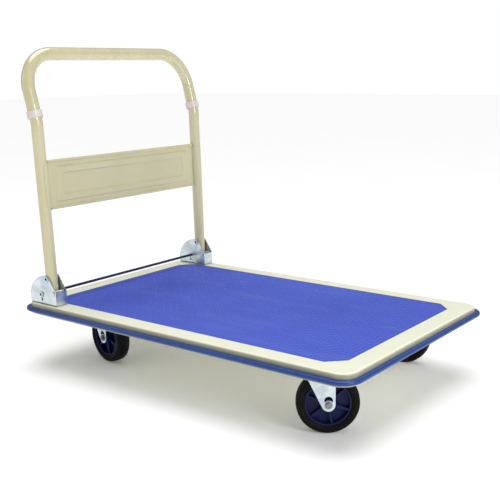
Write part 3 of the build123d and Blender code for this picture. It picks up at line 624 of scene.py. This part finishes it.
# ================================================================ tyres
TYRE_SHOULDER = 6.0 * MM
TYRE_CROWN = 0.5 * MM               # middle of the tread above its shoulders
MOULD_LINE = 0.35 * MM
BEAD_STEP = 1.2 * MM                # sidewall ring next to the hub
BEAD_WIDTH = 4.0 * MM
SHOULDER_TURN = 75.0                # degrees of round between side wall and tread
SHOULDER_STEPS = 6
TYRE_STEPS = 96


def tyre(castor):
    """Solid tyre with a crowned tread, a mould line and stepped side walls."""
    joint = JOINTS[f"roll_{castor}"]
    centre = Vector(joint["pos_m"])
    axis = Vector(joint["axis"]).normalized()
    node = f"tyre_{castor}"
    half = reach_along(node, axis, centre)[1]
    outer = reach_around(node, axis, centre)
    inner = reach_around(f"hub_{castor}", axis, centre)
    r = TYRE_SHOULDER
    shoulder = outer - TYRE_CROWN
    right = round_corner((shoulder - r, half - r), r, 90.0, -SHOULDER_TURN, SHOULDER_STEPS)
    left = [(radius, -offset) for radius, offset in reversed(right)]
    profile = [
        (inner, half - BEAD_STEP), (inner + BEAD_WIDTH, half - BEAD_STEP),
        (inner + BEAD_WIDTH + BEAD_STEP / 2, half),
    ]
    profile += right
    profile += [(outer - MOULD_LINE, MOULD_LINE * 2), (outer, MOULD_LINE), (outer, -MOULD_LINE)]
    profile += [(outer - MOULD_LINE, -MOULD_LINE * 2)]
    profile += left
    profile += [
        (inner + BEAD_WIDTH + BEAD_STEP / 2, -half), (inner + BEAD_WIDTH, BEAD_STEP - half),
        (inner, BEAD_STEP - half),
    ]
    mesh = lathe(profile, centre, axis, TYRE_STEPS)
    shown(f"{node}_moulded", mesh, "tyre", f"wheel_{castor}", [node])


# ================================================================ back panel
PANEL_SHEET = 1.5 * MM
HEM_R = 3.5 * MM
HEM_WALL = 1.2 * MM
HEM_SHORT = 2.5 * MM                # hem ends short of the tubes
OUTER_PRESS = (222.0 * MM, 17.0 * MM)   # half width, distance from the panel's edge
INNER_PRESS = (202.0 * MM, 32.0 * MM)
PRESS_STEP = 2.5 * MM
PRESS_SLOPE = 3.5 * MM
PRESS_CORNER = 5.0 * MM
TAB_WRAP = math.radians(108.0)
TAB_CORNER = 8.0 * MM
SHEET_GRID = (330, 84)              # faces of the panel's mesh, along and up
TAB_GRID = (40, 24)
HEM_STEPS = 24


def panel_places():
    """Panel middle, its upward direction, its forward direction and its height."""
    low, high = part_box("back_panel")
    up = Vector((-math.sin(LEG_LEAN), 0, math.cos(LEG_LEAN)))
    forward = Vector((math.cos(LEG_LEAN), 0, math.sin(LEG_LEAN)))
    level = (low.z + high.z) / 2
    middle = Vector((PIVOT.x - (level - PIVOT.z) * math.tan(LEG_LEAN), 0, level))
    return middle, up, forward, high.z - low.z


def inside_share(a, b, half_a, half_b):
    """1 inside a rectangle with round corners, 0 outside, sloping between."""
    dx = abs(a) - half_a + PRESS_CORNER
    dy = abs(b) - half_b + PRESS_CORNER
    outward = math.hypot(max(dx, 0.0), max(dy, 0.0)) + min(max(dx, dy), 0.0) - PRESS_CORNER
    share = min(max(0.5 - outward / PRESS_SLOPE, 0.0), 1.0)
    return share * share * (3 - 2 * share)


def surface(point, columns, rows):
    """Grid mesh through point(u, v), with u and v from 0 to 1."""
    work = bmesh.new()
    verts = []
    for i in range(columns + 1):
        verts.append([work.verts.new(point(i / columns, j / rows)) for j in range(rows + 1)])
    for i in range(columns):
        for j in range(rows):
            work.faces.new((verts[i][j], verts[i + 1][j], verts[i + 1][j + 1], verts[i][j + 1]))
    mesh = bpy.data.meshes.new("surface")
    work.to_mesh(mesh)
    work.free()
    return mesh


def thickened(mesh, thickness):
    """Give a surface a wall, half of it on each side."""
    holder = bpy.data.objects.new("wall", mesh)
    bpy.context.scene.collection.objects.link(holder)
    wall = holder.modifiers.new("wall", "SOLIDIFY")
    wall.thickness = thickness
    wall.offset = 0.0
    flattened(holder)
    result = holder.data
    bpy.data.objects.remove(holder)
    return result


def panel_sheet():
    """Sheet with a raised frame pressed between two rectangles."""
    middle, up, forward, height = panel_places()
    half_b = height / 2 - HEM_R
    half_a = LEG_Y - TUBE_R

    def point(u, v):
        a = (2 * u - 1) * half_a
        b = (2 * v - 1) * half_b
        raised = inside_share(a, b, OUTER_PRESS[0], height / 2 - OUTER_PRESS[1])
        raised -= inside_share(a, b, INNER_PRESS[0], height / 2 - INNER_PRESS[1])
        return middle + Vector((0, a, 0)) + up * b + forward * (raised * PRESS_STEP)

    return thickened(surface(point, *SHEET_GRID), PANEL_SHEET)


def panel_tab(side):
    """Curved tab over the front of one leg, with rounded free corners."""
    middle, up, forward, height = panel_places()
    radius = TUBE_R + PANEL_SHEET / 2
    length = radius * TAB_WRAP
    half_b = height / 2 - 2 * HEM_R

    def point(u, v):
        s = u * length
        past = max(s - (length - TAB_CORNER), 0.0)
        limit = half_b - (TAB_CORNER - math.sqrt(TAB_CORNER ** 2 - past ** 2))
        angle = math.pi - s / radius
        a = side * (LEG_Y + radius * math.cos(angle))
        b = (2 * v - 1) * limit
        return middle + Vector((0, a, 0)) + up * b + forward * (radius * math.sin(angle))

    return thickened(surface(point, *TAB_GRID), PANEL_SHEET)


def panel_hem(edge):
    """Rolled hem: an open tube along the top or bottom edge."""
    middle, up, forward, height = panel_places()
    centre = middle + up * (edge * (height / 2 - HEM_R))
    half = LEG_Y - TUBE_R - HEM_SHORT
    profile = [(HEM_R, -half), (HEM_R, half), (HEM_R - HEM_WALL, half), (HEM_R - HEM_WALL, -half)]
    return lathe(profile, centre, Vector((0, 1, 0)), HEM_STEPS)


def back_panel():
    """The whole panel as one pressed piece."""
    parts = [panel_sheet(), panel_tab(-1), panel_tab(1), panel_hem(-1), panel_hem(1)]
    mesh = joined(parts)
    mesh.set_sharp_from_angle(angle=SHARP)
    shown("back_panel_pressed", mesh, "handle_paint", "handle", ["back_panel"])


# ================================================================ every piece
# Small round on the sharp edges of each kind of piece, in millimetres.
EDGE_RADIUS = {
    "deck_pan": 0.6, "bumper_strip": 0.5, "cross_rail_front": 0.5, "cross_rail_rear": 0.5,
    "castor_fixings": 0.4, "hinge_bracket_right": 0.5, "hinge_bracket_left": 0.5,
    "bracket_bolts": 0.4, "pivot_rivets": 0.5, "stop_pins": 0.5, "release_nuts": 0.4,
    "release_bar": 0.5, "grip_sleeve": 0.25,
}
CASTOR_EDGE_RADIUS = {"castor_plate": 0.5, "kingpin": 0.5, "fork": 0.6, "axle": 0.5, "hub": 0.5}


def soften_all():
    """Round the edges of the listed pieces that keep their CAD shape."""
    for node, radius in EDGE_RADIUS.items():
        softened(node, radius * MM)
    for castor in CASTORS:
        for kind, radius in CASTOR_EDGE_RADIUS.items():
            softened(f"{kind}_{castor}", radius * MM)


def finish_cad_nodes():
    """Give every CAD node its finish, shown or not."""
    for node, piece in NODES.items():
        piece.data.materials.clear()
        piece.data.materials.append(finish_of(node))


finish_cad_nodes()
soften_all()
mat_tread()
back_panel()
for castor_name in CASTORS:
    tyre(castor_name)


# ================================================================ studio
FLOOR_SIZE = 40.0
AMBIENT = 0.27                      # light from all round
BACKDROP = 1.0                      # the same white ground as the camera sees it
OVERHEAD = 2.12
OVERHEAD_SPREAD = math.radians(50.0)
OVERHEAD_FROM = Vector((-0.12, 0.20, 1.0))


def placed(name, data):
    """Put a lamp or a camera in the scene."""
    item = bpy.data.objects.new(name, data)
    bpy.context.scene.collection.objects.link(item)
    return item


def floor():
    """Pale floor under the wheels."""
    bpy.ops.mesh.primitive_plane_add(size=FLOOR_SIZE, location=(0, 0, 0))
    plane = bpy.context.object
    plane.name = "floor"
    plane.data.materials.append(studio_floor())


def white_room():
    """White all round, dimmer as a light than as a backdrop."""
    world = bpy.data.worlds.new("studio")
    world.use_nodes = True
    background = world.node_tree.nodes["Background"]
    background.inputs["Color"].default_value = (1.0, 1.0, 1.0, 1.0)
    bench = Bench(world.node_tree)
    seen = bench.add("ShaderNodeLightPath").outputs["Is Camera Ray"]
    strength = bench.add("ShaderNodeMapRange", {0: seen, 3: AMBIENT, 4: BACKDROP})
    world.node_tree.links.new(strength.outputs[0], background.inputs["Strength"])
    bpy.context.scene.world = world


def overhead_light():
    """Wide soft light from above."""
    sky = bpy.data.lights.new("overhead", "SUN")
    sky.energy = OVERHEAD
    sky.angle = OVERHEAD_SPREAD
    placed("overhead", sky).rotation_euler = OVERHEAD_FROM.to_track_quat("Z", "Y").to_euler()


def soft_light(name, place, target, size, power):
    """Square soft light aimed at a point; power in watts."""
    data = bpy.data.lights.new(name, "AREA")
    data.size = size
    data.energy = power
    aim = (Vector(target) - Vector(place)).to_track_quat("-Z", "Y").to_matrix().to_4x4()
    placed(name, data).matrix_world = Matrix.Translation(place) @ aim


def studio():
    """Floor, backdrop and lights."""
    floor()
    white_room()
    overhead_light()
    soft_light("side_strip", place=(3.6, -1.0, 1.6), target=(0, 0, 0.4), size=1.1, power=46.0)
    soft_light("glint", place=(2.2, -0.6, 1.5), target=(0, 0, 0.5), size=0.4, power=7.5)
    soft_light("left_fill", place=(-2.0, -1.8, 1.4), target=(0, 0, 0.3), size=1.6, power=8.0)


CAMERA_AZIMUTH = math.radians(37.973)
CAMERA_PITCH = math.radians(16.013)
CAMERA_ROLL = math.radians(-1.017)
CAMERA_PLACE = Vector((1.4465, -1.8234, 0.6409))    # from the mat's middle, in mat lengths
CAMERA_LENS = 60.27
CAMERA_SHIFT = (-0.0065, 0.1238)
SENSOR_WIDTH = 36.0


def camera():
    """Camera beside the front right corner, looking down over the deck."""
    ahead = Vector((
        -math.sin(CAMERA_AZIMUTH) * math.cos(CAMERA_PITCH),
        math.cos(CAMERA_AZIMUTH) * math.cos(CAMERA_PITCH),
        -math.sin(CAMERA_PITCH),
    ))
    level = Vector((math.cos(CAMERA_AZIMUTH), math.sin(CAMERA_AZIMUTH), 0))
    upright = level.cross(ahead)
    right = level * math.cos(CAMERA_ROLL) + upright * math.sin(CAMERA_ROLL)
    up = upright * math.cos(CAMERA_ROLL) - level * math.sin(CAMERA_ROLL)
    place = Vector((0, 0, MAT_HIGH.z)) + CAMERA_PLACE * MAT_LENGTH
    data = bpy.data.cameras.new("camera")
    data.sensor_width = SENSOR_WIDTH
    data.lens = CAMERA_LENS
    data.shift_x, data.shift_y = CAMERA_SHIFT
    eye = placed("camera", data)
    eye.matrix_world = Matrix((right, up, -ahead)).transposed().to_4x4()
    eye.matrix_world.translation = place
    bpy.context.scene.camera = eye


studio()
camera()
bpy.context.scene.view_settings.view_transform = "Standard"
